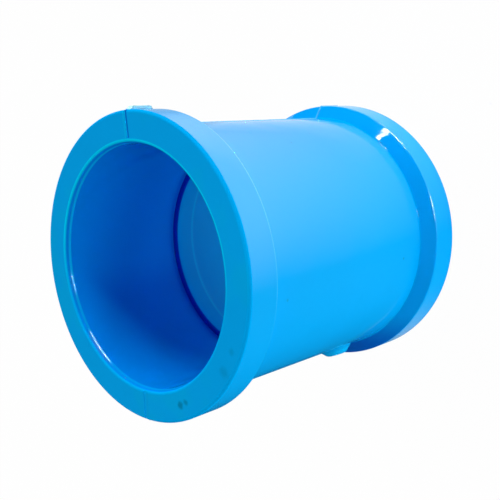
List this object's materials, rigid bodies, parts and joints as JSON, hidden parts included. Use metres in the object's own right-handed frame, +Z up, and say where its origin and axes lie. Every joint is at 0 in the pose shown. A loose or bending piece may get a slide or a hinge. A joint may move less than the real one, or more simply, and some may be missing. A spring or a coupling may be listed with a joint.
{
  "type": "pvc pipe coupling",
  "caption": "Straight moulded PVC coupling that joins pipes end to end: two sockets, a central stop and a thick collar round each end.",
  "frame": {"origin": "middle of the lower end face, on the axis of the sockets", "axes": "+Z up along the axis of the sockets, +X towards the parting line that carries the gate's stub"},
  "size_m": [0.0779, 0.0766, 0.0838],
  "materials": {
    "blue_pvc": "gloss"
  },
  "bodies": {
    "root": {"coupling": "blue_pvc"}
  },
  "joints": []
}
